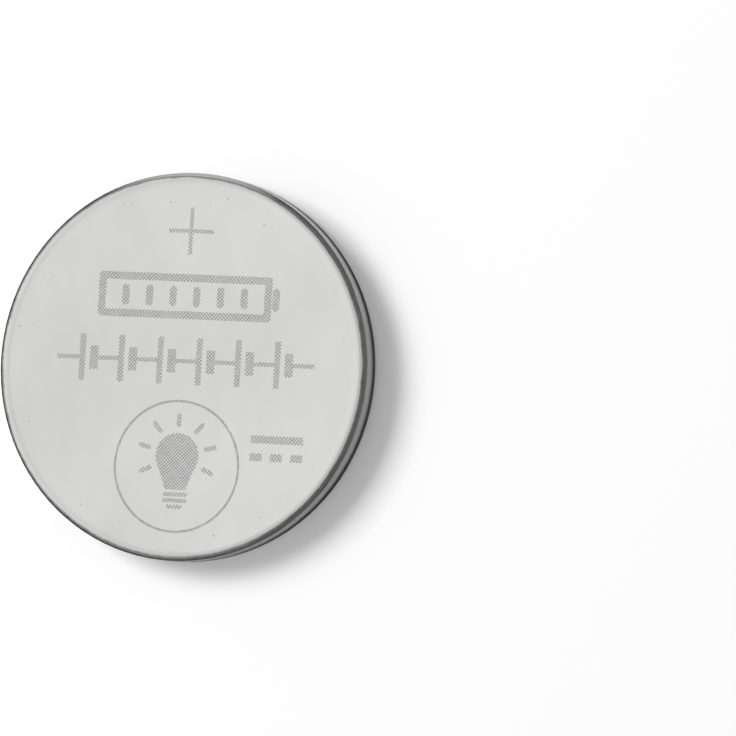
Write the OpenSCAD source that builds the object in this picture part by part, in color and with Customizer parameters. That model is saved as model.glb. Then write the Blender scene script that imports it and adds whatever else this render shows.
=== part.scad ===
// Lithium coin cell, 20 mm across and 2.5 mm high, lying on its negative cap.
// The origin is the centre of the cap's outer face and +Z is the cell's axis, so the
// positive face looks up. Each round piece is one section, turned about that axis.
// A formed sheet is drawn as a path at an offset from its outer surface: offset 0 is
// the outer surface and an offset of the sheet's thickness is the inner one.

/* [Cell] */
// Diameter over the can's wall
cell_d = 20; // [17:0.1:30]
// Height over both faces
cell_h = 2.5; // [2:0.05:5]

/* [Positive can] */
// Thickness of the can's steel
can_wall = 0.25; // [0.15:0.01:0.32]
// Outer radius of the corner between the positive face and the wall
can_edge_r = 0.45; // [0.35:0.01:0.7]
// Radius of the gentle roll-off of the face that leads into that corner
can_rolloff_r = 3; // [1.5:0.1:6]
// Angle through which the roll-off turns
can_rolloff_angle = 6; // [2:0.5:10]
// Outer radius of the shoulder crimped over the open end
can_crimp_r = 0.6; // [0.4:0.01:0.72]
// Angle by which the lip dips back into the cell past the shoulder
can_lip_angle = 15; // [8:0.5:20]

/* [Negative cap] */
// Thickness of the cap's steel
cap_wall = 0.2; // [0.12:0.01:0.26]
// How far the cap's face stands out of the crimped end of the can
cap_proud = 0.25; // [0.15:0.01:0.5]
// Outer radius of the shoulder round the cap's face
cap_edge_r = 0.5; // [0.3:0.01:0.62]
// Inner radius of the two bends of the cap's flange
cap_bend_r = 0.1; // [0.04:0.01:0.13]
// Width of the flat left on the flange between its bends
cap_flange_w = 0.05; // [0.02:0.01:0.2]
// Slit left between the two legs of the folded skirt
cap_hem_gap = 0.05; // [0.02:0.01:0.1]
// Clearance from the flange's bend to the cut edge of the fold
cap_hem_stop = 0.1; // [0.05:0.01:0.3]

/* [Pits coined in the cap's face] */
// Pitch of the square grid of pits
pit_pitch = 0.7; // [0.57:0.01:1.5]
// Diameter of a pit at the face
pit_d = 0.42; // [0.3:0.01:0.56]
// Diameter of a pit's flat bottom
pit_floor_d = 0.18; // [0.1:0.01:0.28]
// Depth of a pit
pit_depth = 0.06; // [0.02:0.005:0.09]
// Turn of the grid about the axis
pit_turn = 20; // [0:1:45]
// Plain margin between the outermost pits and the shoulder
pit_margin = 0.02; // [0.01:0.01:0.5]

/* [Gasket] */
// Thickness of the plastic between the can's wall and the folded skirt
gasket_wall = 0.25; // [0.15:0.01:0.4]
// Thickness of the plastic between the crimped end and the cap's flange
gasket_lid = 0.25; // [0.18:0.01:0.4]
// Thickness of the plastic between the fold and the can's floor
gasket_floor = 0.25; // [0.1:0.01:0.4]
// Thickness of the wall inside the skirt
gasket_inner_wall = 0.25; // [0.15:0.01:0.4]
// Height of the wall inside the skirt, from the can's floor
gasket_inner_h = 0.7; // [0.5:0.01:0.9]
// Width of the black ring that shows between the cap and the lip
gasket_show = 0.25; // [0.15:0.01:0.35]

/* [Cell stack] */
// Clearance all round between the gasket and the separator cup
stack_gap = 0.8; // [0.6:0.05:2]
// Distance by which the lithium disc stops short of the separator's edge
anode_inset = 0.1; // [0:0.05:1]
// Thickness of the lithium disc
anode_t = 0.5; // [0.2:0.01:0.7]
// Thickness of the separator cup
separator_t = 0.12; // [0.05:0.01:0.2]
// Height of the separator cup's rim, from its floor
separator_rim_h = 0.5; // [0.3:0.01:0.8]
// Thickness of the steel ring round the pellet
ring_wall = 0.12; // [0.05:0.01:0.2]
// Height of that ring, from the can's floor
ring_h = 0.8; // [0.4:0.01:0.9]
// Width of the ring's flange under the pellet
ring_flange_w = 0.8; // [0.3:0.05:2]

/* [Hidden] */

// Steps that a quarter turn of a bend is drawn with
bend_steps = 12;
// Steps that the shortest bend still has
least_steps = 4;
$fn = 96;

cell_r = cell_d / 2;
can_in_r = cell_r - can_wall;
can_floor_z = cell_h - can_wall;
flange_z = cap_proud + can_wall + gasket_lid;

// The folded skirt is placed from the can's wall inwards
hem_out_r = can_in_r - gasket_wall;
leg_out_r = hem_out_r - cap_wall - cap_hem_gap;
leg_in_r = leg_out_r - cap_wall;
gasket_in_r = leg_in_r - gasket_inner_wall;
fold_z = can_floor_z - gasket_floor - cap_wall - cap_hem_gap / 2;
flange_bend_r = cap_bend_r + cap_wall;
hem_edge_z = flange_z + flange_bend_r + cap_hem_stop;
cap_r = leg_out_r - flange_bend_r - cap_flange_w - cap_bend_r;
lip_r = cap_r + gasket_show;

steel = [0.74, 0.74, 0.72];
cap_steel = [0.82, 0.82, 0.81];
plastic = [0.09, 0.09, 0.1];
lithium = [0.62, 0.63, 0.66];
fleece = [0.93, 0.93, 0.9];
oxide = [0.16, 0.15, 0.16];

// Points of an arc of radius r about c, from angle a0 to angle a1
function arc(c, r, a0, a1) =
    let (n = max(least_steps, ceil(abs(a1 - a0) / 90 * bend_steps)))
    [for (i = [0:n]) let (a = a0 + (a1 - a0) * i / n) c + r * [cos(a), sin(a)]];

function reversed(points) = [for (i = [len(points) - 1:-1:0]) points[i]];

// The can, from the centre of the positive face to the lip, at an offset into the steel
rolloff_w = (can_rolloff_r - can_edge_r) * sin(can_rolloff_angle);
rolloff_drop = (can_rolloff_r - can_edge_r) * (1 - cos(can_rolloff_angle));
edge_c = [cell_r - can_edge_r, cell_h - rolloff_drop - can_edge_r];
rolloff_c = [edge_c[0] - rolloff_w, cell_h - can_rolloff_r];
crimp_c = [cell_r - can_crimp_r, cap_proud + can_crimp_r];
lip_end_angle = -90 - can_lip_angle;
lip_inwards = [-cos(can_lip_angle), sin(can_lip_angle)];
lip_l = (crimp_c[0] + can_crimp_r * cos(lip_end_angle) - lip_r) / cos(can_lip_angle);

function can_edge_path(off) = concat(
    arc(rolloff_c, can_rolloff_r - off, 90, 90 - can_rolloff_angle),
    arc(edge_c, can_edge_r - off, 90 - can_rolloff_angle, 0));

function can_crimp_path(off) = arc(crimp_c, can_crimp_r - off, 0, lip_end_angle);

function lip_end(off) =
    crimp_c + (can_crimp_r - off) * [cos(lip_end_angle), sin(lip_end_angle)]
    + lip_l * lip_inwards;

function can_path(off) = concat(
    [[0, cell_h - off]],
    can_edge_path(off),
    can_crimp_path(off),
    [lip_end(off)]);

// The cap, from the centre of its face to the cut edge of its folded skirt
shoulder_c = [cap_r - cap_edge_r, cap_edge_r];
inner_bend_c = [cap_r + cap_bend_r, flange_z - cap_bend_r];
outer_bend_c = [leg_out_r - flange_bend_r, flange_z + flange_bend_r];
fold_c = [leg_out_r + cap_hem_gap / 2, fold_z];

function cap_shoulder_path(off) = arc(shoulder_c, cap_edge_r - off, -90, 0);

function cap_flange_path(off) = concat(
    arc(inner_bend_c, cap_bend_r + off, 180, 90),
    arc(outer_bend_c, flange_bend_r - off, -90, 0));

function cap_fold_path(off) = arc(fold_c, cap_hem_gap / 2 + off, 180, 0);

function cap_path(off) = concat(
    [[0, off]],
    cap_shoulder_path(off),
    cap_flange_path(off),
    cap_fold_path(off),
    [[fold_c[0] + cap_hem_gap / 2 + off, hem_edge_z]]);

// The gasket's free edge runs from partway up the lip's cut end to the cap's shoulder
gasket_lip_share = 0.35;
gasket_free_edge = lip_end(0) + gasket_lip_share * (lip_end(can_wall) - lip_end(0));
// Points of the shoulder's arc that the gasket still covers
gasket_shoulder_points = 3;

module turned(points) {
    rotate_extrude()
        polygon(points);
}

module disc(d, z0, z1) {
    translate([0, 0, z0])
        cylinder(h = z1 - z0, d = d);
}

// Drawn and crimped cup: positive face, wall, rolled shoulder and lip in one sheet
module positive_can() {
    color(steel)
        turned(concat(can_path(0), reversed(can_path(can_wall))));
}

// Moulded ring that fills the space between the can and the cap's skirt
module gasket() {
    shoulder = cap_shoulder_path(0);
    last = len(shoulder) - 1;
    color(plastic)
        turned(concat(
            [[gasket_in_r, can_floor_z - gasket_inner_h], [gasket_in_r, can_floor_z]],
            can_edge_path(can_wall),
            can_crimp_path(can_wall),
            [lip_end(can_wall), gasket_free_edge],
            [for (i = [last - gasket_shoulder_points + 1:last]) shoulder[i]],
            cap_flange_path(0),
            [[leg_out_r, hem_edge_z], [hem_out_r, hem_edge_z]],
            reversed(cap_fold_path(cap_wall)),
            [[leg_in_r, can_floor_z - gasket_inner_h]]));
}

// One punch of the coining tool: a blunt cone that starts just outside the face
module pit_punch() {
    below = pit_depth / 2;
    mouth_d = pit_d + (pit_d - pit_floor_d) * below / pit_depth;
    translate([0, 0, -below])
        cylinder(h = below + pit_depth, d1 = mouth_d, d2 = pit_floor_d);
}

// The grid straddles the axis, so the middle of the face lies between four pits
module pit_punches() {
    field_r = cap_r - cap_edge_r - pit_margin - pit_d / 2;
    half_rows = ceil(field_r / pit_pitch);
    rotate([0, 0, pit_turn])
        for (column = [-half_rows:half_rows - 1], row = [-half_rows:half_rows - 1]) {
            place = pit_pitch * [column + 0.5, row + 0.5];
            if (norm(place) <= field_r)
                translate(place)
                    pit_punch();
        }
}

// Stepped dish with a folded skirt, its face coined with a grid of pits
module negative_cap() {
    color(cap_steel)
        difference() {
            turned(concat(cap_path(0), reversed(cap_path(cap_wall))));
            pit_punches();
        }
}

// The stack lies face to face between the cap's floor and the can's floor
anode_z = cap_wall + anode_t;
cathode_z = anode_z + separator_t;
separator_d = 2 * (gasket_in_r - stack_gap);
anode_d = separator_d - 2 * anode_inset;
ring_d = separator_d - 2 * separator_t;
cathode_d = ring_d - 2 * ring_wall;
ring_hole_d = cathode_d - 2 * ring_flange_w;

// Lithium disc pressed on to the inside of the cap
module lithium_anode() {
    color(lithium)
        disc(anode_d, cap_wall, anode_z);
}

// Shallow fleece cup, its floor between the electrodes and its rim round the ring
module separator() {
    color(fleece)
        difference() {
            disc(separator_d, anode_z, cathode_z + separator_rim_h);
            disc(ring_d, cathode_z, cell_h);
        }
}

// Pressed pellet, stepped to sit in its ring and flush with the ring's flange
module cathode_pellet() {
    color(oxide)
        difference() {
            disc(cathode_d, cathode_z, can_floor_z);
            difference() {
                disc(cell_d, can_floor_z - ring_wall, cell_h);
                disc(ring_hole_d, cap_wall, cell_h);
            }
        }
}

// Angle ring that holds the pellet and carries its current to the can's floor
module cathode_ring() {
    color(steel)
        difference() {
            disc(ring_d, can_floor_z - ring_h, can_floor_z);
            disc(cathode_d, cap_wall, can_floor_z - ring_wall);
            disc(ring_hole_d, cap_wall, cell_h);
        }
}

positive_can();
gasket();
negative_cap();
lithium_anode();
separator();
cathode_pellet();
cathode_ring();
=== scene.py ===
"""A lithium coin cell that lies on its negative cap: finishes, etched marks, studio and camera."""
import math
import random

import bpy
from mathutils import Matrix, Vector


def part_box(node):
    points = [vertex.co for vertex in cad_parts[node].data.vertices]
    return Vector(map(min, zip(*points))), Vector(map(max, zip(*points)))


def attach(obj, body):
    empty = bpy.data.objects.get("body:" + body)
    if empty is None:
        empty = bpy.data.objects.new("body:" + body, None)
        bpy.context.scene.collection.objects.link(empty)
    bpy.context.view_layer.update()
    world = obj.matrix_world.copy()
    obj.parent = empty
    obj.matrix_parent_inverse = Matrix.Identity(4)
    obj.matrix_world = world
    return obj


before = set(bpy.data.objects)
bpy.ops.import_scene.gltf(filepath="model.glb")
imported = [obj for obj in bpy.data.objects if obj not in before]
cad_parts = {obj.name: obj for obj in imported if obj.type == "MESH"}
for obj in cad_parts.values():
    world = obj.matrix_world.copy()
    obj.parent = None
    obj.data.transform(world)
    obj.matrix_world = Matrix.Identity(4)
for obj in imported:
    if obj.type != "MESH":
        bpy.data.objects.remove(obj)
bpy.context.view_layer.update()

MM = 0.001
CAN_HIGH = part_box("positive_can")[1]
FACE_Z = CAN_HIGH.z
CELL_R = CAN_HIGH.x


# Camera

FRAME_PX = 736
# The cell's place, size and attitude in the photograph
FACE_CENTRE_PX = (180.05, 366.2)
PX_PER_MM = 19.472
TILT = math.radians(18.76)
TILT_TOWARDS = math.radians(168.67)
MARKS_TURN = math.radians(-2.4)
# A long lens, because the photograph's cell shows no perspective
FOCAL_PX = 8000
SENSOR_MM = 36
NEAR_CLIP = 0.01


def cell_axes_in_camera():
    """The cell's X, Y and Z as the camera sees them: right, up and towards the lens."""
    lean = math.sin(TILT)
    z = Vector((lean * math.cos(TILT_TOWARDS), lean * math.sin(TILT_TOWARDS), math.cos(TILT)))
    upright = (Vector((0, 1, 0)) - z * z.y).normalized()
    sideways = upright.cross(z)
    y = upright * math.cos(MARKS_TURN) - sideways * math.sin(MARKS_TURN)
    return y.cross(z), y, z


def make_camera():
    x, y, z = cell_axes_in_camera()
    right, up, back = (Vector((x[i], y[i], z[i])) for i in range(3))
    distance = FOCAL_PX / PX_PER_MM * MM
    off_right = (FRAME_PX / 2 - FACE_CENTRE_PX[0]) / PX_PER_MM * MM
    off_up = (FACE_CENTRE_PX[1] - FRAME_PX / 2) / PX_PER_MM * MM
    data = bpy.data.cameras.new("camera")
    data.sensor_width = SENSOR_MM
    data.lens = FOCAL_PX / FRAME_PX * SENSOR_MM
    data.clip_start = NEAR_CLIP
    camera = bpy.data.objects.new("camera", data)
    turn = Matrix((right, up, back)).transposed().to_4x4()
    place = Vector((0, 0, FACE_Z)) + right * off_right + up * off_up + back * distance
    camera.matrix_world = Matrix.Translation(place) @ turn
    bpy.context.scene.collection.objects.link(camera)
    bpy.context.scene.camera = camera


make_camera()


# Node helpers

# Nearly all of a noise lies between the first two of these
NOISE_LOW, NOISE_HIGH, NOISE_MEAN = 0.3, 0.7, 0.5
WHITE = (1, 1, 1, 1)


def new_material(name):
    material = bpy.data.materials.new(name)
    material.use_nodes = True
    tree = material.node_tree
    return material, tree, tree.nodes["Principled BSDF"]


def add(tree, kind, **values):
    """A node of that kind; each value is a property or, failing that, an input's default."""
    node = tree.nodes.new(kind)
    for key, value in values.items():
        if hasattr(node, key):
            setattr(node, key, value)
        else:
            node.inputs[key.replace("_", " ")].default_value = value
    return node


def feed(tree, value, socket):
    """Sets a socket to a number or links what gives one."""
    if isinstance(value, (int, float)):
        socket.default_value = value
    else:
        tree.links.new(value, socket)


def source(socket):
    """What is linked to a socket."""
    return socket.links[0].from_socket


def noise(tree, scale, detail=3.0, stretch=(1, 1, 1)):
    """Noise in the object's own metres, stretched by a factor along each axis."""
    coordinates = add(tree, "ShaderNodeTexCoord")
    mapping = add(tree, "ShaderNodeMapping")
    mapping.inputs["Scale"].default_value = stretch
    texture = add(tree, "ShaderNodeTexNoise", Scale=scale, Detail=detail)
    tree.links.new(coordinates.outputs["Object"], mapping.inputs["Vector"])
    tree.links.new(mapping.outputs["Vector"], texture.inputs["Vector"])
    return texture.outputs["Fac"]


def between(tree, factor, low, high):
    """A number that runs from low to high as factor runs over the middle of its range."""
    node = add(tree, "ShaderNodeMapRange")
    node.inputs["From Min"].default_value = NOISE_LOW
    node.inputs["From Max"].default_value = NOISE_HIGH
    node.inputs["To Min"].default_value = low
    node.inputs["To Max"].default_value = high
    tree.links.new(factor, node.inputs["Value"])
    return node.outputs["Result"]


def colour_sockets(node):
    """A colour mixer's two colour inputs and its output."""
    low, high = (socket for socket in node.inputs if socket.type == "RGBA")
    return low, high, next(socket for socket in node.outputs if socket.type == "RGBA")


def mixer(tree, factor):
    """A colour mixer driven by factor: its two colour inputs and its output."""
    node = add(tree, "ShaderNodeMix", data_type="RGBA")
    tree.links.new(factor, node.inputs["Factor"])
    return colour_sockets(node)


def tint(tree, factor, dark, light):
    """A colour that runs from dark to light with factor."""
    low, high, colour = mixer(tree, factor)
    low.default_value = (*dark, 1)
    high.default_value = (*light, 1)
    return colour


def blend(tree, factor, plain, second_colour):
    """A mix of two colour sockets."""
    low, high, colour = mixer(tree, factor)
    tree.links.new(plain, low)
    tree.links.new(second_colour, high)
    return colour


def multiplied(tree, colour, shade, amount=1.0):
    """A colour multiplied by another, as far as the amount says; the amount may be a socket."""
    node = add(tree, "ShaderNodeMix", data_type="RGBA", blend_type="MULTIPLY")
    feed(tree, amount, node.inputs["Factor"])
    low, high, product = colour_sockets(node)
    tree.links.new(colour, low)
    tree.links.new(shade, high)
    return product


def speckled(tree, colour, texture, low, high):
    """A colour multiplied by a grey that runs from low to high with the texture."""
    return multiplied(tree, colour, between(tree, texture, low, high))


def grey_ramp(tree, factor, stops):
    """A grey for each factor, eased from stop to stop."""
    ramp = add(tree, "ShaderNodeValToRGB")
    ramp.color_ramp.interpolation = "EASE"
    elements = ramp.color_ramp.elements
    elements[0].position, elements[1].position = stops[0][0], stops[-1][0]
    for place, _ in stops[1:-1]:
        elements.new(place)
    for element, (_, grey) in zip(elements, stops):
        element.color = (grey, grey, grey, 1)
    tree.links.new(factor, ramp.inputs["Fac"])
    return ramp.outputs["Color"]


def calc(tree, operation, a, b):
    """A sum, a product or another result of two numbers; either may be a socket."""
    node = add(tree, "ShaderNodeMath", operation=operation)
    feed(tree, a, node.inputs[0])
    feed(tree, b, node.inputs[1])
    return node.outputs[0]


def ramp_up(tree, value, start, end):
    """0 up to start, 1 from end on."""
    node = add(tree, "ShaderNodeMapRange", interpolation_type="SMOOTHSTEP")
    node.inputs["From Min"].default_value = start
    node.inputs["From Max"].default_value = end
    tree.links.new(value, node.inputs["Value"])
    return node.outputs["Result"]


def bump(tree, height, depth, under=None):
    """Bump of that depth in metres, on top of another bump's normal."""
    node = add(tree, "ShaderNodeBump", Distance=depth)
    tree.links.new(height, node.inputs["Height"])
    if under is not None:
        tree.links.new(under, node.inputs["Normal"])
    return node.outputs["Normal"]


def axes_of(tree):
    """The object's own X, Y and Z."""
    place = add(tree, "ShaderNodeSeparateXYZ")
    tree.links.new(add(tree, "ShaderNodeTexCoord").outputs["Object"], place.inputs[0])
    return place.outputs["X"], place.outputs["Y"], place.outputs["Z"]


def distance_from_axis(tree):
    x, y, _ = axes_of(tree)
    squares = calc(tree, "ADD", calc(tree, "MULTIPLY", x, x), calc(tree, "MULTIPLY", y, y))
    return calc(tree, "SQRT", squares, 0.0)


def polar_noise(tree, scale, around=1.0, detail=3.0):
    """Noise on the rolled-out rim: one axis runs round the cell, the others outwards and upwards."""
    x, y, z = axes_of(tree)
    rolled = add(tree, "ShaderNodeCombineXYZ")
    arc = calc(tree, "MULTIPLY", calc(tree, "ARCTAN2", y, x), CELL_R * around)
    tree.links.new(arc, rolled.inputs["X"])
    tree.links.new(distance_from_axis(tree), rolled.inputs["Y"])
    tree.links.new(z, rolled.inputs["Z"])
    texture = add(tree, "ShaderNodeTexNoise", Scale=scale, Detail=detail)
    tree.links.new(rolled.outputs[0], texture.inputs["Vector"])
    return texture.outputs["Fac"]


def centred(tree, texture):
    """A noise moved so that it lies about 0."""
    return calc(tree, "SUBTRACT", texture, NOISE_MEAN)


# Rolled stainless steel

# Scales of the noises, per metre, and the weights of the broad and the close patches
BROAD_SCALE, CLOSE_SCALE = 110, 620
BROAD_WEIGHT, CLOSE_WEIGHT = 0.6, 0.4
POLISH_SCALE = 1500
WAVE_SCALE = 220
GRAIN_SCALE = 16000
# Lowest and highest roughness, as shares of the mean
POLISH_RANGE = (0.92, 1.1)


def satin_steel(name, dark, light, roughness, grain_depth, wave_depth):
    """Rolled stainless steel: a fine grain along the strip, broad soft waves and patches of polish."""
    material, tree, shader = new_material(name)
    shader.inputs["Metallic"].default_value = 1.0
    link = tree.links.new
    broad = calc(tree, "MULTIPLY", noise(tree, BROAD_SCALE, detail=1.0), BROAD_WEIGHT)
    close = calc(tree, "MULTIPLY", noise(tree, CLOSE_SCALE, detail=2.0, stretch=(1, 0.7, 1)), CLOSE_WEIGHT)
    patches = between(tree, calc(tree, "ADD", broad, close), 0, 1)
    link(tint(tree, patches, dark, light), shader.inputs["Base Color"])
    polish = noise(tree, POLISH_SCALE, stretch=(1, 0.35, 1))
    smooth, rough = (roughness * share for share in POLISH_RANGE)
    link(between(tree, polish, smooth, rough), shader.inputs["Roughness"])
    waves = bump(tree, noise(tree, WAVE_SCALE, detail=2.0), wave_depth)
    grain = noise(tree, GRAIN_SCALE, detail=4.0, stretch=(1, 0.3, 1))
    link(bump(tree, grain, grain_depth, under=waves), shader.inputs["Normal"])
    return material


# A grain stands where its noise rises from the first of these to the second
GRAIN_ENDS = (0.35, 0.65)
CAN_GRAIN_DEPTH = 0.0000022
CAP_GRAIN_DEPTH = CAN_GRAIN_DEPTH * 2


def grained(tree, shader, scale, where, depth):
    """Raised grains on top of the shader's bump, as high as the share where says."""
    grains = ramp_up(tree, polar_noise(tree, scale), *GRAIN_ENDS)
    raised = calc(tree, "MULTIPLY", grains, where)
    normal = shader.inputs["Normal"]
    tree.links.new(bump(tree, raised, depth, source(normal)), normal)


# The can's steel

# Greys by height over the part's lowest point, as shares of the cell's height, which paint reflections:
# bright at the lip, a dark streak painted low on the wall, plain wall, a dark band painted round the drawn
# corner
RIM_GREYS = (
    (0.0, 0.66), (0.22, 0.64), (0.3, 0.42), (0.37, 0.2), (0.46, 0.19), (0.54, 0.44), (0.62, 0.66),
    (0.8, 0.66), (0.842, 0.42), (0.866, 0.11), (0.9, 0.06), (0.932, 0.1), (0.962, 0.34), (0.973, 0.62),
)
# How far the greys' borders wander up and down, and where the face's own steel takes over
RIM_RAGGED = 0.026
FACE_SHARES = (0.96, 0.986)
# The painted dark band reaches a little higher on the side towards -X
PAINTED_BAND_LEAN = 0.012
# On the side towards +Y, and in faint patches elsewhere, the painted reflection is only two soft dark
# lines, which also lie a little closer to the face
CALM_GREYS = (
    (0.0, 0.66), (0.8, 0.66), (0.83, 0.38), (0.85, 0.38), (0.875, 0.57), (0.942, 0.54), (0.962, 0.3),
    (0.977, 0.58),
)
CALM_START = 0.84 * CELL_R
CALM_SHIFT = 0.01
CALM_SHARE = 0.85
CALM_PATCHES = 0.14
RIM_SPECKLE = (0.94, 1.07)
# Painted shade: the face darkens softly towards the painted dark band, except on the side towards -X
PAINTED_EDGE_SHADES = ((0.94, 1.0), (0.96, 0.7), (0.97, 0.7), (0.98, 0.77), (0.99, 0.93), (0.997, 1.0))
EDGE_SIDE = (-0.85 * CELL_R, -0.5 * CELL_R)


def calm_share(tree, y):
    """How calm the rim is where the side towards +Y is reached."""
    return calc(tree, "MULTIPLY", ramp_up(tree, y, CALM_START, CELL_R), CALM_SHARE)


def rim_share(tree, x, level, calm):
    """The height's share, moved as far as the greys' borders wander there."""
    nicks = centred(tree, polar_noise(tree, scale=9000, around=0.6, detail=5.0))
    drift = centred(tree, polar_noise(tree, scale=900, detail=1.0))
    ragged = calc(tree, "MULTIPLY", calc(tree, "ADD", nicks, drift), RIM_RAGGED)
    lean = calc(tree, "MULTIPLY", x, PAINTED_BAND_LEAN / CELL_R)
    share = calc(tree, "ADD", calc(tree, "ADD", level, lean), ragged)
    return calc(tree, "SUBTRACT", share, calc(tree, "MULTIPLY", calm, CALM_SHIFT))


def rim_colour(tree, share, calm):
    """The wall's and the corner's steel: bands of painted reflection, with a fine speckle."""
    patches = between(tree, polar_noise(tree, scale=160, detail=1.0), 0, CALM_PATCHES)
    dark_bands, faint = grey_ramp(tree, share, RIM_GREYS), grey_ramp(tree, share, CALM_GREYS)
    greys = blend(tree, calc(tree, "MAXIMUM", calm, patches), dark_bands, faint)
    return speckled(tree, greys, polar_noise(tree, scale=9000, around=0.35), *RIM_SPECKLE)


def drawn_can_steel():
    """The can's steel: satin on the face, with painted shade near its edge; bands of painted reflection,
    nicked at their borders, round the drawn corner and down the wall.
    """
    material = satin_steel("can steel", dark=(0.672, 0.672, 0.659), light=(0.736, 0.736, 0.731),
                           roughness=0.22, grain_depth=0.0000005, wave_depth=0.000006)
    tree = material.node_tree
    shader = tree.nodes["Principled BSDF"]
    link = tree.links.new
    x, y, height = axes_of(tree)
    level = calc(tree, "MULTIPLY", height, 1 / FACE_Z)
    calm = calm_share(tree, y)
    share = rim_share(tree, x, level, calm)
    # Bands of painted reflection round the corner and down the wall
    second_colour = rim_colour(tree, share, calm)
    face = ramp_up(tree, share, *FACE_SHARES)
    whole = blend(tree, face, second_colour, source(shader.inputs["Base Color"]))
    # Painted shade on the face towards its edge
    painted_edge_shade = grey_ramp(tree, level, PAINTED_EDGE_SHADES)
    colour = multiplied(tree, whole, painted_edge_shade, ramp_up(tree, x, *EDGE_SIDE))
    link(colour, shader.inputs["Base Color"])
    # The painted reflections also stay dark at a glancing angle: their greys tint the sheen
    painted_band_tint, clean, sheen = mixer(tree, face)
    link(second_colour, painted_band_tint)
    clean.default_value = WHITE
    link(sheen, shader.inputs["Specular Tint"])
    rim = calc(tree, "SUBTRACT", 1.0, face)
    grained(tree, shader, scale=11000, where=rim, depth=CAN_GRAIN_DEPTH)
    return material


# The cap's steel

# Greys by distance from the axis, as shares of the cell's radius: plain face, darker shoulder
SHOULDER_GREYS = ((0.0, 0.78), (0.84, 0.78), (0.851, 0.42), (0.86, 0.17), (0.874, 0.15), (0.88, 0.2))
SHOULDER_SHARES = (0.842, 0.852)
SHOULDER_RAGGED = 0.014
SHOULDER_SPECKLE = (0.75, 1.25)
# Heights over the cap's face from which painted shade darkens a pit's steel, and at which it is darkest
PIT_HEIGHTS = (0.006 * MM, 0.04 * MM)
PIT_PAINTED_SHADE = (0.68, 0.68, 0.68)


def pressed_cap_steel():
    """The cap's steel: bright on the face, with painted shade in the coined pits, darker round the drawn
    shoulder.
    """
    material = satin_steel("cap steel", dark=(0.75, 0.75, 0.745), light=(0.81, 0.81, 0.805),
                           roughness=0.24, grain_depth=0.000001, wave_depth=0.000005)
    tree = material.node_tree
    shader = tree.nodes["Principled BSDF"]
    nicks = centred(tree, polar_noise(tree, scale=5000, around=0.7, detail=5.0))
    ragged = calc(tree, "MULTIPLY", nicks, SHOULDER_RAGGED)
    share = calc(tree, "ADD", calc(tree, "MULTIPLY", distance_from_axis(tree), 1 / CELL_R), ragged)
    shoulder = ramp_up(tree, share, *SHOULDER_SHARES)
    # Darker round the shoulder
    dark_bands = grey_ramp(tree, share, SHOULDER_GREYS)
    grainy = speckled(tree, dark_bands, polar_noise(tree, scale=8000, around=0.6), *SHOULDER_SPECKLE)
    # Painted shade inside the coined pits
    painted_pit_shade = tint(tree, ramp_up(tree, axes_of(tree)[2], *PIT_HEIGHTS), (1, 1, 1), PIT_PAINTED_SHADE)
    face_colour = multiplied(tree, source(shader.inputs["Base Color"]), painted_pit_shade)
    tree.links.new(blend(tree, shoulder, face_colour, grainy), shader.inputs["Base Color"])
    grained(tree, shader, scale=9000, where=shoulder, depth=CAP_GRAIN_DEPTH)
    return material


# The other materials

def plain_finish(name, colour_scale, dark, light, rough_scale, smooth, rough, detail=3.0, metallic=0.0,
                 bump_scale=0, bump_detail=5.0, bump_depth=0):
    """A material with a noise each for its colour and its roughness and, given a depth, for its bump."""
    material, tree, shader = new_material(name)
    shader.inputs["Metallic"].default_value = metallic
    link = tree.links.new
    link(tint(tree, noise(tree, colour_scale, detail), dark, light), shader.inputs["Base Color"])
    link(between(tree, noise(tree, rough_scale), smooth, rough), shader.inputs["Roughness"])
    if bump_depth:
        link(bump(tree, noise(tree, bump_scale, bump_detail), bump_depth), shader.inputs["Normal"])
    return material


def moulded_plastic():
    """Dull black polypropylene with a squeezed, slightly uneven skin."""
    return plain_finish("black polypropylene", colour_scale=2500, dark=(0.012, 0.012, 0.013),
                        light=(0.03, 0.03, 0.031), rough_scale=6000, smooth=0.42, rough=0.62,
                        bump_scale=4000, bump_depth=0.00002)


def etched_oxide(name, dark, light):
    """The grey film that a laser's heat leaves in the steel."""
    return plain_finish(name, colour_scale=3000, dark=(dark, dark, dark), light=(light, light, light),
                        rough_scale=9000, smooth=0.45, rough=0.65, metallic=1.0)


def lithium_metal():
    """Soft metal with a slightly dull skin."""
    return plain_finish("lithium", colour_scale=700, dark=(0.42, 0.43, 0.46), light=(0.62, 0.63, 0.66),
                        rough_scale=2500, smooth=0.4, rough=0.6, metallic=1.0,
                        bump_scale=1800, bump_depth=0.00003)


def pressed_oxide():
    """Pressed black powder, with a speckle of graphite."""
    return plain_finish("cathode oxide", colour_scale=9000, dark=(0.02, 0.02, 0.021),
                        light=(0.075, 0.072, 0.074), detail=6.0, rough_scale=12000, smooth=0.6, rough=0.9,
                        bump_scale=14000, bump_detail=6.0, bump_depth=0.00003)


CLUMP_SCALE = 6000
FIBRE_SCALE = 9000
FIBRE_DEPTH = 0.00004
FIBRES_ALONG_X, FIBRES_ALONG_Y = (0.2, 1, 1), (1, 0.2, 1)
FLEECE_DARK, FLEECE_LIGHT = (0.74, 0.74, 0.7), (0.92, 0.92, 0.89)
FLEECE_ROUGHNESS = 0.9


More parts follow.
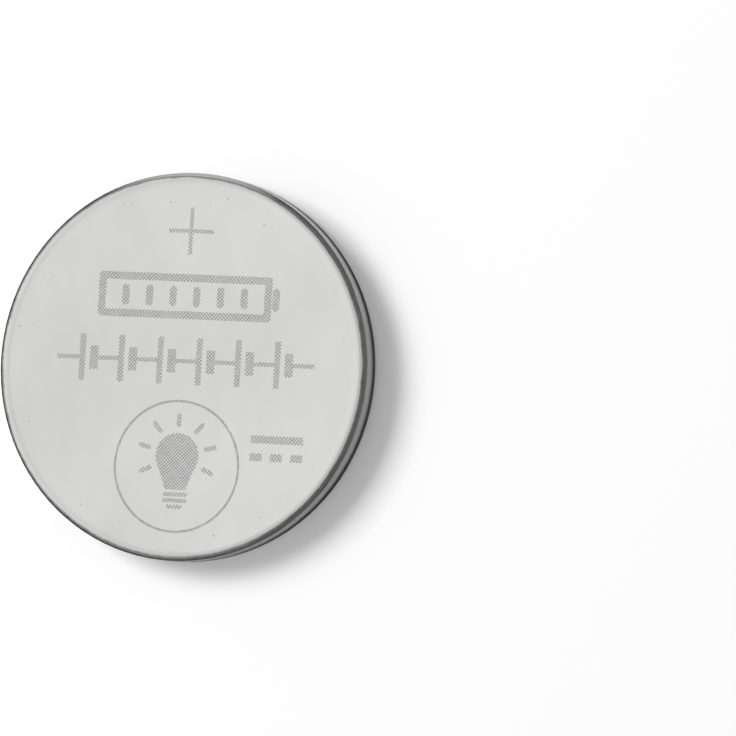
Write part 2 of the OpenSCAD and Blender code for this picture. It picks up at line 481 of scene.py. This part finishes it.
def fleece():
    """Non-woven fibres: fine noise drawn out two ways."""
    material, tree, shader = new_material("separator fleece")
    link = tree.links.new
    clumps = noise(tree, CLUMP_SCALE, detail=6.0, stretch=FIBRES_ALONG_Y)
    link(tint(tree, clumps, FLEECE_DARK, FLEECE_LIGHT), shader.inputs["Base Color"])
    shader.inputs["Roughness"].default_value = FLEECE_ROUGHNESS
    across = noise(tree, FIBRE_SCALE, detail=5.0, stretch=FIBRES_ALONG_X)
    along = noise(tree, FIBRE_SCALE, detail=5.0, stretch=FIBRES_ALONG_Y)
    weave = bump(tree, along, FIBRE_DEPTH, under=bump(tree, across, FIBRE_DEPTH))
    link(weave, shader.inputs["Normal"])
    return material


def thin_strip_steel():
    return satin_steel("ring steel", dark=(0.5, 0.5, 0.49), light=(0.62, 0.62, 0.61),
                       roughness=0.35, grain_depth=0.000002, wave_depth=0.000004)


def dress(node, material):
    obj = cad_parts[node]
    for slot in obj.material_slots:
        slot.material = material


dress("positive_can", drawn_can_steel())
dress("negative_cap", pressed_cap_steel())
dress("cathode_ring", thin_strip_steel())
dress("gasket", moulded_plastic())
dress("lithium_anode", lithium_metal())
dress("separator", fleece())
dress("cathode_pellet", pressed_oxide())


# Marks etched in the positive face
# A laser fills each mark with two crossing sets of fine lines. A shape gives, for a line through
# point (x, y) along direction (u, v), the stretches of the line that lie in the shape, in millimetres.

HATCH_PITCH = 0.13
HATCH_WIDTH = 0.044
HATCH_TURNS = (math.radians(43), math.radians(-47))
HATCH_HEIGHTS = (0.0015 * MM, 0.002 * MM)
# Narrowest and widest line, as shares of the width
LINE_UNEVEN = (0.85, 1.15)
# Widths of the strokes, the first of them for all that has no width of its own
STROKE = 0.39
TALL_PLATE, SHORT_PLATE, LEAD = STROKE * 0.8, STROKE * 1.15, STROKE * 0.55
LAMP_CAP, LAMP_RAY = STROKE * 0.52, STROKE * 0.62
PARALLEL = 1e-12


def disc_shape(cx, cy, radius):
    def stretches(x, y, u, v):
        middle = (cx - x) * u + (cy - y) * v
        off = (cx - x) * v - (cy - y) * u
        if abs(off) >= radius:
            return []
        half = math.sqrt(radius ** 2 - off ** 2)
        return [(middle - half, middle + half)]
    return stretches, (cx - radius, cy - radius, cx + radius, cy + radius)


def convex_shape(corners):
    """A convex outline, its corners counterclockwise."""
    def stretches(x, y, u, v):
        low, high = -math.inf, math.inf
        for (ax, ay), (bx, by) in zip(corners, corners[1:] + corners[:1]):
            nx, ny = ay - by, bx - ax
            ahead, depth = u * nx + v * ny, (x - ax) * nx + (y - ay) * ny
            if abs(ahead) < PARALLEL:
                if depth < 0:
                    return []
            elif ahead > 0:
                low = max(low, -depth / ahead)
            else:
                high = min(high, -depth / ahead)
        return [(low, high)] if low < high else []
    xs, ys = [c[0] for c in corners], [c[1] for c in corners]
    return stretches, (min(xs), min(ys), max(xs), max(ys))


def bar_shape(x0, y0, x1, y1, width=STROKE):
    length = math.hypot(x1 - x0, y1 - y0)
    ox, oy = (y1 - y0) / length * width / 2, (x0 - x1) / length * width / 2
    return convex_shape([(x0 + ox, y0 + oy), (x1 + ox, y1 + oy), (x1 - ox, y1 - oy), (x0 - ox, y0 - oy)])


def round_bar(x0, y0, x1, y1, width=STROKE):
    """A stroke with round ends, as three shapes."""
    return [bar_shape(x0, y0, x1, y1, width), disc_shape(x0, y0, width / 2), disc_shape(x1, y1, width / 2)]


def plus_sign(x, y, size, width):
    half = size / 2
    return [bar_shape(x - half, y, x + half, y, width), bar_shape(x, y - half, x, y + half, width)]


# Room for the terminal at the end, and the same between the case and the ends of the bars
BATTERY_INSET = STROKE * 1.6


def battery_outline(x, y, length, height, bars):
    """A long battery seen from the side: its case, its terminal and the bars inside it."""
    inset, terminal = BATTERY_INSET, height / 3
    left, right, tip = x - length / 2 + STROKE / 2, x + length / 2 - inset, x + length / 2 - STROKE / 2
    low, high = y - height / 2 + STROKE / 2, y + height / 2 - STROKE / 2
    corners = [(left, low), (right, low), (right, high), (left, high)]
    shapes = []
    for here, there in zip(corners, corners[1:] + corners[:1]):
        shapes += round_bar(*here, *there)
    shapes += round_bar(tip, y - terminal / 2, tip, y + terminal / 2)
    step = (right - left) / (bars + 1)
    for i in range(bars):
        middle = left + (i + 1) * step
        shapes += round_bar(middle, low + inset, middle, high - inset)
    return shapes


# Shares of the step from cell to cell: how far each plate lies from the middle of its cell, how far the
# leads at the row's ends reach from there, and what the row's length has over one step for each cell
PLATE_OFF, END_REACH, ROW_EXTRA = 0.15, 0.8, 0.6


def cell_row(x, y, length, height, cells):
    """A row of cell signs, each a tall thin plate and a short thick one, joined by leads."""
    step = length / (cells + ROW_EXTRA)
    plate_off, between_cells, at_end = step * PLATE_OFF, step / 2, step * END_REACH
    shapes = []
    for i in range(cells):
        middle = x + (i - (cells - 1) / 2) * step
        tall, short = middle - plate_off, middle + plate_off
        shapes.append(bar_shape(tall, y - height / 2, tall, y + height / 2, TALL_PLATE))
        shapes.append(bar_shape(short, y - height / 4, short, y + height / 4, SHORT_PLATE))
        ahead = between_cells if i < cells - 1 else at_end
        behind = between_cells if i > 0 else at_end
        shapes.append(bar_shape(middle - behind, y, tall, y, LEAD))
        shapes.append(bar_shape(short, y, middle + ahead, y, LEAD))
    return shapes


# The whole line's length over a dash's
DASH_SHARE = 4.4


def direct_current_sign(x, y, length, height):
    """A whole line over three dashes."""
    high, low = y + height / 2 - STROKE / 2, y - height / 2 + STROKE / 2
    shapes = [bar_shape(x - length / 2, high, x + length / 2, high)]
    dash = length / DASH_SHARE
    for i in (-1, 0, 1):
        middle = x + i * (length - dash) / 2
        shapes.append(bar_shape(middle - dash / 2, low, middle + dash / 2, low))
    return shapes


# The lamp's bulb, its radius and its rise over the middle, as shares of the circle's radius
BULB_R, BULB_RISE = 0.34, 0.16
# Shares of the bulb's radius: the neck's width and where it ends, half the width of the bulb's waist and
# where that lies, and the rays' two ends
NECK_WIDTH, NECK_DROP = 0.95, 1.5
WAIST_HALF, WAIST_DROP = 0.88, 0.45
RAY_ENDS = (1.38, 1.78)
RAY_DEGREES = range(-24, 205, 38)
# Strokes of the lamp's cap: their lengths as shares of the neck's width, and in stroke widths how far
# under the neck the first lies and each next one under it
CAP_LENGTHS = (1.0, 1.0, 0.6)
CAP_START, CAP_STEP = 0.62, 0.82


def lamp(x, y, radius):
    """A lamp that fills a circle of that radius: a filled bulb with its neck, its cap and short rays."""
    bulb, top = radius * BULB_R, y + radius * BULB_RISE
    shapes = [disc_shape(x, top, bulb)]
    neck, foot = bulb * NECK_WIDTH, top - bulb * NECK_DROP
    side, waist = bulb * WAIST_HALF, top - bulb * WAIST_DROP
    taper = [(x - neck / 2, foot), (x + neck / 2, foot), (x + side, waist), (x - side, waist)]
    shapes.append(convex_shape(taper))
    for i, length in enumerate(CAP_LENGTHS):
        level = foot - STROKE * (CAP_START + i * CAP_STEP)
        half = neck / 2 * length
        shapes += round_bar(x - half, level, x + half, level, LAMP_CAP)
    near, far = (bulb * end for end in RAY_ENDS)
    for degrees in RAY_DEGREES:
        c, s = math.cos(math.radians(degrees)), math.sin(math.radians(degrees))
        shapes += round_bar(x + near * c, top + near * s, x + far * c, top + far * s, LAMP_RAY)
    return shapes


def merged(stretches):
    """The stretches of one line, with those that overlap made one."""
    joined = []
    for low, high in sorted(stretches):
        if joined and low <= joined[-1][1]:
            joined[-1][1] = max(joined[-1][1], high)
        else:
            joined.append([low, high])
    return joined


def hatch_lines(shapes, turn):
    """Every stretch of the turned lines that lies in any of the shapes, as its two end points."""
    u, v = math.cos(turn), math.sin(turn)
    corners = [(x, y) for _, (x0, y0, x1, y1) in shapes for x in (x0, x1) for y in (y0, y1)]
    offsets = [y * u - x * v for x, y in corners]
    found = []
    for i in range(math.ceil(min(offsets) / HATCH_PITCH), math.floor(max(offsets) / HATCH_PITCH) + 1):
        x, y = -v * i * HATCH_PITCH, u * i * HATCH_PITCH
        for low, high in merged([s for shape, _ in shapes for s in shape(x, y, u, v)]):
            if high - low > HATCH_WIDTH / 2:
                found.append((x + low * u, y + low * v, x + high * u, y + high * v))
    return found


def add_mark(name, verts, faces, material):
    mesh = bpy.data.meshes.new(name)
    mesh.from_pydata(verts, [], faces)
    mesh.materials.append(material)
    mark = bpy.data.objects.new(name, mesh)
    bpy.context.scene.collection.objects.link(mark)
    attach(mark, "root")


# Strokes of an etched ring: how far each lies outside the ring's radius, and its width
RING_LINES = ((-0.042, 0.03), (0.0, 0.036), (0.042, 0.03))
RING_SIDES = 240
# Narrowest and widest stroke, as shares of its width
RING_UNEVEN = (0.5, 1.3)


def etched_ring(name, cx, cy, radius, material, rng):
    """A thin circle of close round strokes, their widths a little uneven."""
    verts, faces = [], []
    top = FACE_Z + HATCH_HEIGHTS[0]
    for offset, width in RING_LINES:
        first = len(verts)
        for i in range(RING_SIDES):
            turn = math.tau * i / RING_SIDES
            half = width / 2 * rng.uniform(*RING_UNEVEN)
            for z, side in ((FACE_Z, -1), (FACE_Z, 1), (top, 1), (top, -1)):
                far = radius + offset + side * half
                verts.append(((cx + far * math.cos(turn)) * MM, (cy + far * math.sin(turn)) * MM, z))
        for i in range(RING_SIDES):
            here, there = first + i * 4, first + (i + 1) % RING_SIDES * 4
            for k in range(4):
                n = (k + 1) % 4
                faces.append([here + k, there + k, there + n, here + n])
    add_mark(name, verts, faces, material)


# Sides of a box whose corners are numbered round its foot and then round its top
BOX_SIDES = ((3, 2, 1, 0), (4, 5, 6, 7), (0, 1, 5, 4), (1, 2, 6, 5), (2, 3, 7, 6), (3, 0, 4, 7))


def etched_mark(name, shapes, material, rng):
    """One mesh of low flat ridges, one for each stretch of the laser's lines."""
    verts, faces = [], []
    for turn, height in zip(HATCH_TURNS, HATCH_HEIGHTS):
        ox, oy = -math.sin(turn) * HATCH_WIDTH / 2, math.cos(turn) * HATCH_WIDTH / 2
        for x0, y0, x1, y1 in hatch_lines(shapes, turn):
            wide = rng.uniform(*LINE_UNEVEN)
            first = len(verts)
            for z in (FACE_Z, FACE_Z + height):
                for x, y, side in ((x0, y0, -wide), (x1, y1, -wide), (x1, y1, wide), (x0, y0, wide)):
                    verts.append(((x + ox * side) * MM, (y + oy * side) * MM, z))
            faces += [[first + i for i in side] for side in BOX_SIDES]
    add_mark(name, verts, faces, material)


MARKS_SEED = 7
LAMP_PLACE = (0.13, -5.15)
LAMP_R = 3.42
LAMP_RING_R = 3.36


def make_marks():
    """The marks, where and as large as the photographed cell's are."""
    oxide = etched_oxide("etched oxide", dark=0.33, light=0.44)
    rng = random.Random(MARKS_SEED)
    marks = {
        "mark_plus": plus_sign(x=0.17, y=6.97, size=2.45, width=0.2),
        "mark_battery": battery_outline(x=0.25, y=3.59, length=9.88, height=2.31, bars=6),
        "mark_cell_row": cell_row(x=0.26, y=0.27, length=14.04, height=2.41, cells=6),
        "mark_lamp": lamp(*LAMP_PLACE, LAMP_R),
        "mark_direct_current": direct_current_sign(x=5.5, y=-4.03, length=2.84, height=1.3),
    }
    for name, shapes in marks.items():
        etched_mark(name, shapes, oxide, rng)
    etched_ring("mark_lamp_ring", *LAMP_PLACE, LAMP_RING_R, oxide, rng)


make_marks()


# Specks near the edge of the face

SPECKS_SEED = 11
SPECK_COUNT = 26
# Nearest and farthest distance from the axis, and smallest and largest radius, in millimetres
SPECK_BAND = (8.3, 9.2)
SPECK_RADII = (0.014, 0.036)
SPECK_SIDES = 9
# How far the outline's points reach, as shares of the radius, and how long and wide it is drawn out
SPECK_REACH = (0.7, 1.15)
SPECK_LENGTH, SPECK_WIDTH = 1.3, 0.8
# Shares of the outline and of the rise, from the foot up
SPECK_RINGS = ((1.0, 0.0), (0.75, 0.5), (0.35, 0.9), (0.01, 1.0))
# Height as a share of the radius
SPECK_RISE = 0.12


def speck(x, y, radius, rng):
    """A low grain with an uneven outline, a little longer than it is wide."""
    turn = rng.uniform(0, math.tau)
    c, s = math.cos(turn), math.sin(turn)
    reaches = [rng.uniform(*SPECK_REACH) for _ in range(SPECK_SIDES)]
    verts, faces = [], []
    for share, rise in SPECK_RINGS:
        for i, reach in enumerate(reaches):
            a = math.tau * i / SPECK_SIDES
            along = math.cos(a) * reach * radius * share * SPECK_LENGTH
            across = math.sin(a) * reach * radius * share * SPECK_WIDTH
            px, py = x + along * c - across * s, y + along * s + across * c
            verts.append((px * MM, py * MM, FACE_Z + rise * radius * SPECK_RISE * MM))
    for low in range(0, len(verts) - SPECK_SIDES, SPECK_SIDES):
        for i in range(SPECK_SIDES):
            j = (i + 1) % SPECK_SIDES
            faces.append([low + i, low + j, low + SPECK_SIDES + j, low + SPECK_SIDES + i])
    faces.append(list(range(SPECK_SIDES))[::-1])
    faces.append(list(range(len(verts) - SPECK_SIDES, len(verts))))
    return verts, faces


def make_specks():
    """Specks of dark grit, as one piece."""
    rng = random.Random(SPECKS_SEED)
    verts, faces = [], []
    for _ in range(SPECK_COUNT):
        far, turn = rng.uniform(*SPECK_BAND), rng.uniform(0, math.tau)
        more, sides = speck(far * math.cos(turn), far * math.sin(turn), rng.uniform(*SPECK_RADII), rng)
        faces += [[len(verts) + k for k in side] for side in sides]
        verts += more
    add_mark("specks", verts, faces, etched_oxide("dark grit", dark=0.14, light=0.3))


make_specks()


# Studio

FLOOR_SIZE = 1.6
FLOOR_Z = -0.00002
FLOOR_ALBEDO = 0.92
FLOOR_ROUGHNESS = 0.9
FLOOR_LIFT = 0.08
SKY_LEVEL = 0.54
KEY_TURN = math.radians(152)
KEY_RISE = math.radians(52)
KEY_DISTANCE = 0.65
KEY_SIZE = 0.3
KEY_WATTS = 3.05
# Greys of the room above the floor, by the sine of the height angle: a bright ceiling with a dim
# seam, over a white wall towards -X and a grey one towards +X
CEILING_STOPS = ((0.85, 1.0), (0.872, 0.7), (0.9, 0.7), (0.92, 1.0), (1.0, 1.0))
WHITE_WALL_STOPS = ((0.0, 1.0), *CEILING_STOPS)
GREY_WALL_STOPS = ((0.0, 0.4), (0.5, 0.4), (0.7, 1.0), *CEILING_STOPS)
WALLS_MEET = (-0.25, 0.35)


def heading(turn, rise):
    return Vector((math.cos(rise) * math.cos(turn), math.cos(rise) * math.sin(turn), math.sin(rise)))


def seen_rays(tree):
    """Two outputs: 1 on rays off gloss, through glass or from the camera, and 1 on the camera's alone."""
    path = add(tree, "ShaderNodeLightPath").outputs
    gloss = calc(tree, "MAXIMUM", path["Is Glossy Ray"], path["Is Transmission Ray"])
    return calc(tree, "MAXIMUM", gloss, path["Is Camera Ray"]), path["Is Camera Ray"]


def make_floor():
    """Pale floor; the lift is what such rays see on top of its lit colour."""
    bpy.ops.mesh.primitive_plane_add(size=FLOOR_SIZE, location=(0, 0, FLOOR_Z))
    floor = bpy.context.object
    floor.name = "floor"
    material, tree, shader = new_material("pale floor")
    shader.inputs["Base Color"].default_value = (FLOOR_ALBEDO, FLOOR_ALBEDO, FLOOR_ALBEDO, 1)
    shader.inputs["Roughness"].default_value = FLOOR_ROUGHNESS
    shader.inputs["Specular IOR Level"].default_value = 0.0
    shader.inputs["Emission Color"].default_value = WHITE
    lift = calc(tree, "MULTIPLY", seen_rays(tree)[0], FLOOR_LIFT)
    tree.links.new(lift, shader.inputs["Emission Strength"])
    floor.data.materials.append(material)


def make_key():
    """Soft light from the upper left."""
    data = bpy.data.lights.new("key", "AREA")
    data.size = KEY_SIZE
    data.energy = KEY_WATTS
    key = bpy.data.objects.new("key", data)
    key.location = heading(KEY_TURN, KEY_RISE) * KEY_DISTANCE
    key.rotation_euler = (-key.location).to_track_quat("-Z", "Y").to_euler()
    key.visible_glossy = False
    bpy.context.scene.collection.objects.link(key)


def make_world():
    """White behind the cell; the steel and the floor find a bright ceiling over a grey room."""
    world = bpy.data.worlds.new("studio")
    bpy.context.scene.world = world
    world.use_nodes = True
    tree = world.node_tree
    tree.nodes.clear()
    link = tree.links.new
    parts = add(tree, "ShaderNodeSeparateXYZ")
    link(add(tree, "ShaderNodeTexCoord").outputs["Generated"], parts.inputs[0])
    white_wall = grey_ramp(tree, parts.outputs["Z"], WHITE_WALL_STOPS)
    grey_wall = grey_ramp(tree, parts.outputs["Z"], GREY_WALL_STOPS)
    room = blend(tree, ramp_up(tree, parts.outputs["X"], *WALLS_MEET), white_wall, grey_wall)
    seen, by_camera = seen_rays(tree)
    around, behind, background = mixer(tree, by_camera)
    link(room, around)
    behind.default_value = WHITE
    shown = add(tree, "ShaderNodeBackground")
    link(background, shown.inputs["Color"])
    light = add(tree, "ShaderNodeBackground")
    link(room, light.inputs["Color"])
    light.inputs["Strength"].default_value = SKY_LEVEL
    mix = add(tree, "ShaderNodeMixShader")
    link(seen, mix.inputs["Fac"])
    link(light.outputs[0], mix.inputs[1])
    link(shown.outputs[0], mix.inputs[2])
    output = add(tree, "ShaderNodeOutputWorld")
    link(mix.outputs[0], output.inputs["Surface"])


make_floor()
make_world()
make_key()

bpy.context.scene.view_settings.view_transform = "Standard"
